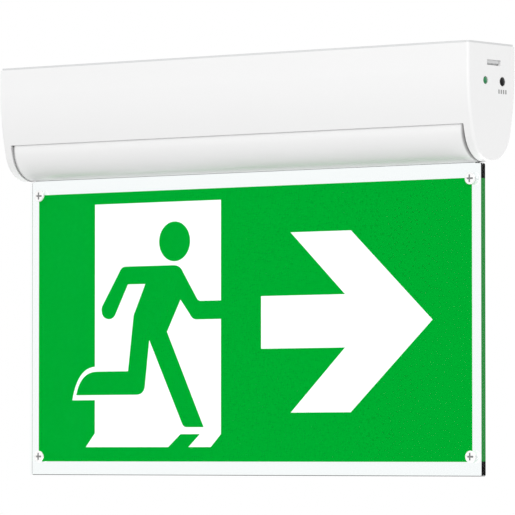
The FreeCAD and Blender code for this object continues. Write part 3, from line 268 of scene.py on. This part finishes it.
# Black ABS of the button, its switch and the lamp holder: satin, from a small polished tool.
BLACK_ABS = finish_of("moulded_black_abs", "0C0C0D", "121213", patch_mm=5.0, grain_mm=0.2,
                      height_mm=0.003, strength=0.2, Roughness=0.35, IOR=1.53,
                      Specular_IOR_Level=0.2)
# Green epoxy of the indicator lamp, lit from inside.
GREEN_LENS = finish_of("green_epoxy_lens", "126B3C", "187846", patch_mm=2.0, grain_mm=0.3,
                       height_mm=0.002, strength=0.1, Roughness=0.15, IOR=1.55,
                       Emission_Color=linear("1E9A55"), Emission_Strength=0.12)
# Soft PVC sheaths, extruded: a dull, slightly waxy skin.
RED_PVC = finish_of("red_pvc_sheath", "A61B14", "B4231B", patch_mm=10.0, grain_mm=0.3,
                    height_mm=0.004, strength=0.2, Roughness=0.45, IOR=1.53)
WHITE_PVC = finish_of("white_pvc_sheath", "E4E4E2", "ECECEA", patch_mm=10.0, grain_mm=0.3,
                      height_mm=0.004, strength=0.2, Roughness=0.45, IOR=1.53)
WHITE_NYLON = screw_nylon()
# The nuts are the same nylon pressed flat on the sheet, with a stronger painted glow standing in for light
# through the sheet from the front.
PAINTED_GLOW_NYLON = finish_of("white_nylon_painted_glow", "EFEFEE", "F3F3F2", patch_mm=4.0, grain_mm=0.3,
                      height_mm=0.003, strength=0.1, Roughness=0.42, IOR=1.53,
                      Emission_Color=linear("FFFFFF"), Emission_Strength=0.34)
# Zinc-plated steel screws: grey, with a fine crystalline grain.
ZINC = finish_of("zinc_plate", "B4B8BC", "C6CACC", patch_mm=2.0, grain_mm=0.2,
                 height_mm=0.005, strength=0.3, Metallic=1.0, Roughness=0.35)
CLEAR_ACRYLIC = clear_acrylic()
# Translucent white film with a painted glow, standing in for light through the sheets.
WHITE_FILM = finish_of("translucent_white_film", "E8E8E8", "ECECEC", patch_mm=80.0, grain_mm=0.5,
                       height_mm=0.002, strength=0.05, Roughness=0.6, IOR=1.5, Specular_IOR_Level=0.0,
                       Emission_Color=linear("FFFFFF"), Emission_Strength=0.35)
# Screen-printed safety green, bonded to the sheet, so that it has no gloss of its own. It carries a painted
# glow, standing in for the sign's own light.
GREEN_INK = finish_of("screen_printed_green", "007820", "007A21", patch_mm=80.0, grain_mm=0.5,
                      height_mm=0.002, strength=0.05, Roughness=0.6, IOR=1.5, Specular_IOR_Level=0.0,
                      Emission_Color=linear("00A82F"), Emission_Strength=0.6)
# Pad-printed grey marks.
GREY_INK = finish_of("pad_printed_grey", "8E8E8E", "969696", patch_mm=3.0, grain_mm=0.2,
                     height_mm=0.002, strength=0.1, Roughness=0.5, IOR=1.5)
# The floor is even matt paint.
FLOOR_PAINT = finish_of("painted_floor", "B4B4B4", "B8B8B8", patch_mm=400.0, grain_mm=2.0,
                        height_mm=0.05, strength=0.1, Roughness=0.9, IOR=1.45)

FINISH_OF_NODE = {
    "housing_cover": WHITE_ABS, "barrel_front": BARREL_ABS, "barrel_rear": BARREL_ABS,
    "mounting_base": GREY_ABS, "terminal_block": GREY_ABS,
    "pivot_bush_left": ACETAL, "pivot_bush_right": ACETAL,
    "friction_washer_left": RUBBER, "friction_washer_right": RUBBER,
    "driver_board": GREEN_BOARD, "lamp_board": WHITE_BOARD, "lamp_packages": PHOSPHOR,
    "supply_socket": NYLON, "battery_socket": NYLON, "lamp_socket": NYLON, "lamp_plug": NYLON,
    "capacitor_input": CAN_SLEEVE, "capacitor_output": CAN_SLEEVE, "transformer": FERRITE,
    "battery_pack": CELL_SLEEVE, "test_switch": BLACK_ABS, "indicator_holder": BLACK_ABS,
    "test_button": BLACK_ABS, "indicator_lamp": GREEN_LENS,
    "lamp_lead": WHITE_PVC, "supply_lead": WHITE_PVC, "battery_lead": RED_PVC,
    "corner_screws": WHITE_NYLON, "corner_nuts": PAINTED_GLOW_NYLON,
    "board_screws": ZINC, "clamp_screws": ZINC, "terminal_screws": ZINC,
    "panel_front": CLEAR_ACRYLIC, "panel_rear": CLEAR_ACRYLIC, "legend_film": WHITE_FILM,
}
for node_name, finish in FINISH_OF_NODE.items():
    node_mesh = NODES[node_name].data
    node_mesh.materials.clear()
    node_mesh.materials.append(finish)


# ---------------------------------------------------------------- flat shapes
CURVE_STEPS = 12
RING_STEPS = 48


def outline(points):
    """Closed outline from corner points. A point (x, y) is reached by a straight line; a point
    (x, y, px, py) by a curve pulled towards (px, py): (1-t)^2 a + 2t(1-t) p + t^2 b."""
    rows = [np.array(points[0][:2], float)[None]]
    share = np.linspace(0.0, 1.0, CURVE_STEPS + 1)[1:, None]
    for before, here in zip(points, points[1:] + points[:1]):
        start, end = np.array(before[:2], float), np.array(here[:2], float)
        if len(here) == 2:
            rows.append(end[None])
            continue
        pull = np.array(here[2:], float)
        rows.append((1 - share) ** 2 * start + 2 * share * (1 - share) * pull + share ** 2 * end)
    return np.concatenate(rows)[:-1]


def ring(x, y, radius):
    """Circle about (x, y): (x + r cos a, y + r sin a) for a in equal steps."""
    turn = np.arange(RING_STEPS) * 2 * math.pi / RING_STEPS
    return np.stack([x + radius * np.cos(turn), y + radius * np.sin(turn)], axis=1)


def signed_area(loop):
    """Half the sum of x_i y_(i+1) - x_(i+1) y_i: positive for a loop that turns left."""
    following = np.roll(loop, -1, axis=0)
    return 0.5 * float(np.sum(loop[:, 0] * following[:, 1] - following[:, 0] * loop[:, 1]))


def faces_of(loops):
    """Triangles that fill the first loop outside the other ones, each turning left, and the side
    walls from each point to the one after it on its loop. The points of the upper face follow
    those of the lower one."""
    flat = np.concatenate(loops)
    count = len(flat)
    fill = np.array(tessellate_polygon([[Vector((x, y, 0.0)) for x, y in loop] for loop in loops]))
    a, b, c = (flat[fill[:, n]] for n in range(3))
    leans = (b - a)[:, 0] * (c - a)[:, 1] - (b - a)[:, 1] * (c - a)[:, 0]
    fill = np.where(leans[:, None] > 0, fill, fill[:, ::-1])
    starts = np.cumsum([0] + [len(loop) for loop in loops])
    here = np.arange(count)
    following = np.concatenate([np.roll(here[s:e], -1) for s, e in zip(starts, starts[1:])])
    walls = np.stack([here, following, following + count, here + count], axis=1)
    return fill[:, ::-1].tolist() + (fill + count).tolist() + walls.tolist()


def plate(name, loops, to_world, thickness, finish, body):
    """Flat plate with holes: the first loop is its outline and the others are holes. It fills
    z from 0 to thickness over the loops, and to_world then puts it in place."""
    turned = [loop if (signed_area(loop) > 0) == (n == 0) else loop[::-1] for n, loop in enumerate(loops)]
    flat = np.concatenate(turned)
    count = len(flat)
    corners = np.zeros((count * 2, 4))
    corners[:, :2] = np.concatenate([flat, flat])
    corners[count:, 2] = thickness
    corners[:, 3] = 1.0
    points = (corners @ np.array(to_world).T)[:, :3]
    made = bpy.data.meshes.new(name)
    made.from_pydata(points.tolist(), [], faces_of(turned))
    made.materials.append(finish)
    made.update()
    piece = bpy.data.objects.new(name, made)
    bpy.context.scene.collection.objects.link(piece)
    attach(piece, body)
    return piece


# ---------------------------------------------------------------- legend
FILM_LOW, FILM_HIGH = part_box("legend_film")
INK_THICK = 0.04 * MM
INK_GAP = 0.03 * MM                     # from each ink layer to the sheet in front of it

# Flat sizes from here on are in millimetres from the middle of the film's lower edge. The printed
# field reaches a little past the film's nominal size.
FIELD_LEFT, FIELD_RIGHT = -151.8, 149.8
FIELD_LOW, FIELD_TOP = -0.27, 150.5
NOTCH_RADIUS = 2.0
SCREW_LOW, SCREW_HIGH = 2.5, 150.0      # corner screws above the film's lower edge
SHAPES_SHIFT = -1.4                     # the doorway, head and arrow all stand this far to the side

# The white doorway with the cut-out round the running figure, which joins the green at the right
# jamb (the reaching arm) and at the sill (the shadow).
DOORWAY = [
    # right jamb, lintel and left jamb
    (-18.7, 88.5), (-18.7, 144.0), (-109.1, 144.0), (-109.1, 52.9),
    # white band round the rear foot
    (-125.6, 34.1, -122.0, 52.0), (-109.1, 34.1),
    # threshold, the shadow across it, and the foot of the right jamb
    (-109.1, 15.5), (-115.7, 7.75), (-56.05, 7.75), (-47.3, 14.9), (-33.6, 14.9), (-41.7, 7.75),
    (-25.9, 7.75), (-18.7, 14.9), (-18.7, 78.3),
    # under the reaching arm and down the chest
    (-35.9, 78.3), (-40.6, 81.2, -38.9, 78.3), (-47.35, 89.45), (-57.0, 71.75),
    # front leg
    (-30.9, 18.75), (-43.0, 18.75), (-46.6, 21.6, -45.4, 18.75), (-69.7, 67.4),
    # rear leg
    (-72.8, 42.1), (-78.6, 36.95, -73.4, 37.1), (-122.7, 36.95), (-107.3, 50.1, -119.6, 50.1),
    (-85.0, 50.1), (-81.0, 80.8),
    # back and rear arm
    (-80.0, 83.2, -80.8, 82.0), (-72.55, 98.65), (-85.1, 98.65), (-94.0, 82.4),
    (-98.8, 79.4, -95.4, 79.6), (-104.2, 84.9, -104.2, 79.8), (-103.3, 87.4, -104.2, 86.2),
    (-91.3, 105.6), (-86.8, 108.65, -90.0, 108.5),
    # shoulder and the upper side of the reaching arm
    (-51.9, 108.65), (-45.5, 104.6, -47.4, 108.4), (-35.9, 90.2), (-33.0, 88.5, -34.8, 88.5),
]
HEAD_X, HEAD_Y, HEAD_RADIUS = -51.6, 121.9, 11.05
ARROW = [
    (9.3, 61.45), (66.85, 61.45), (29.75, 26.45), (70.65, 26.45), (125.3, 75.6), (70.9, 124.7),
    (29.7, 124.7), (66.85, 90.3), (9.3, 90.3),
]


def notch(x, z, start, end):
    """Arc of a notch about a screw at (x, z), from one corner of the notch to the other, clockwise:
    (x + r cos a, z + r sin a)."""
    first = math.atan2(start[1] - z, start[0] - x)
    last = math.atan2(end[1] - z, end[0] - x)
    turn = np.linspace(first, last - (2 * math.pi if last > first else 0.0), CURVE_STEPS + 1)
    return np.stack([x + NOTCH_RADIUS * np.cos(turn), z + NOTCH_RADIUS * np.sin(turn)], axis=1)


def half_chord(off):
    """Half the chord that an edge cuts from a notch when it passes off the screw's middle:
    the root of r^2 - off^2."""
    return math.sqrt(NOTCH_RADIUS ** 2 - off ** 2)


def field_outline():
    """The printed field, notched round the four corner screws."""
    across = CORNER_X / MM
    right = half_chord(FIELD_RIGHT - across)
    left = half_chord(FIELD_LEFT + across)
    top = half_chord(FIELD_TOP - SCREW_HIGH)
    return np.concatenate([
        np.array([(FIELD_LEFT, FIELD_LOW), (FIELD_RIGHT, FIELD_LOW)]),
        notch(across, SCREW_LOW, (FIELD_RIGHT, SCREW_LOW - right), (FIELD_RIGHT, SCREW_LOW + right)),
        notch(across, SCREW_HIGH, (FIELD_RIGHT, SCREW_HIGH - right), (across - top, FIELD_TOP)),
        notch(-across, SCREW_HIGH, (-across + top, FIELD_TOP), (FIELD_LEFT, SCREW_HIGH - left)),
        notch(-across, SCREW_LOW, (FIELD_LEFT, SCREW_LOW + left), (FIELD_LEFT, SCREW_LOW - left))])


def legend_print():
    """White film with green ink on both faces, so that the sign reads from either side."""
    middle_x = (FILM_LOW.x + FILM_HIGH.x) / 2
    film_thick = FILM_HIGH.y - FILM_LOW.y
    stand = Matrix.Rotation(math.pi / 2, 4, "X")
    scale = Matrix.Diagonal((MM, MM, 1.0, 1.0))

    def standing_at(y):
        """Millimetres on the film to metres, standing up with its back at y."""
        return Matrix.Translation((middle_x, y, FILM_LOW.z)) @ stand @ scale

    beside = np.array([SHAPES_SHIFT, 0.0])
    field = field_outline()
    doorway = outline(DOORWAY) + beside
    arrow = outline(ARROW) + beside
    head = ring(HEAD_X, HEAD_Y, HEAD_RADIUS) + beside

    film = plate("legend_white", [field], standing_at(FILM_HIGH.y - INK_GAP - INK_THICK),
                 film_thick - 2 * (INK_GAP + INK_THICK), WHITE_FILM, "panel")
    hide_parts("legend_film")
    for side, y in (("front", FILM_LOW.y + INK_GAP + INK_THICK), ("rear", FILM_HIGH.y - INK_GAP)):
        plate("legend_green_" + side, [field, doorway, arrow], standing_at(y), INK_THICK,
              GREEN_INK, "panel")
        plate("legend_head_" + side, [head], standing_at(y), INK_THICK, GREEN_INK, "panel")


legend_print()


# ---------------------------------------------------------------- marks under the test button
def button_marks():
    """Row of four short grey strokes under the test button, plain marks that show where to press."""
    count, pitch, wide, tall = 4, 2.1, 1.1, 2.2
    drop = 4.3 * MM                     # from the button's middle to the strokes' tops
    low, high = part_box("test_button")
    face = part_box("housing_cover")[1].x
    middle = (low.y + high.y) / 2
    top = (low.z + high.z) / 2 - drop
    turn = Matrix(((0, 0, 1, 0), (1, 0, 0, 0), (0, 1, 0, 0), (0, 0, 0, 1)))
    place = Matrix.Translation((face, middle, top)) @ turn @ Matrix.Diagonal((MM, MM, 1.0, 1.0))
    for n in range(count):
        y = (n - (count - 1) / 2) * pitch
        stroke = np.array([(y - wide / 2, -tall), (y + wide / 2, -tall), (y + wide / 2, 0.0),
                           (y - wide / 2, 0.0)])
        plate("button_mark_%d" % (n + 1), [stroke], place, 0.03 * MM, GREY_INK, "housing")


button_marks()


# ---------------------------------------------------------------- floor, light and camera
def stage_floor():
    """Plain pale floor well under the light."""
    half, depth = 6.0, -1.1
    made = bpy.data.meshes.new("floor")
    made.from_pydata([(-half, -half, depth), (half, -half, depth), (half, half, depth), (-half, half, depth)],
                     [], [(0, 1, 2, 3)])
    made.materials.append(FLOOR_PAINT)
    floor = bpy.data.objects.new("floor", made)
    bpy.context.scene.collection.objects.link(floor)


def soft_box(name, place, aim, side, power):
    """Square soft light at place that looks at aim; side in metres, power in watts."""
    made = bpy.data.lights.new(name, "AREA")
    made.shape = "SQUARE"
    made.size = side
    made.energy = power
    lamp = bpy.data.objects.new(name, made)
    lamp.location = place
    lamp.rotation_euler = (Vector(aim) - Vector(place)).to_track_quat("-Z", "Y").to_euler()
    lamp.visible_camera = False
    bpy.context.scene.collection.objects.link(lamp)


def studio_light():
    """White surroundings, a large soft box at the front right and above, and a smaller one under the
    light and behind the panel."""
    world = bpy.data.worlds.new("studio")
    world.use_nodes = True
    world.node_tree.nodes["Background"].inputs["Color"].default_value = (1.0, 1.0, 1.0, 1.0)
    world.node_tree.nodes["Background"].inputs["Strength"].default_value = 1.0
    bpy.context.scene.world = world
    housing_middle = (0.0, 0.0, -0.05)
    soft_box("key_box", (1.75, -2.80, 1.0), housing_middle, side=1.9, power=34.5)
    soft_box("under_box", (0.0, 0.32, -0.90), housing_middle, side=0.7, power=11.0)


def camera():
    """Long lens to the front right of the light and a little below it."""
    yaw, pitch = math.radians(38.0), math.radians(2.22)
    made = bpy.data.cameras.new("camera")
    made.sensor_width = 36.0
    made.lens = 351.43
    eye = bpy.data.objects.new("camera", made)
    eye.location = (1.7002, -2.1693, -0.2170)
    eye.rotation_euler = (math.pi / 2 + pitch, 0.0, yaw)
    bpy.context.scene.collection.objects.link(eye)
    bpy.context.scene.camera = eye


stage_floor()
studio_light()
camera()
bpy.context.scene.view_settings.view_transform = "Standard"
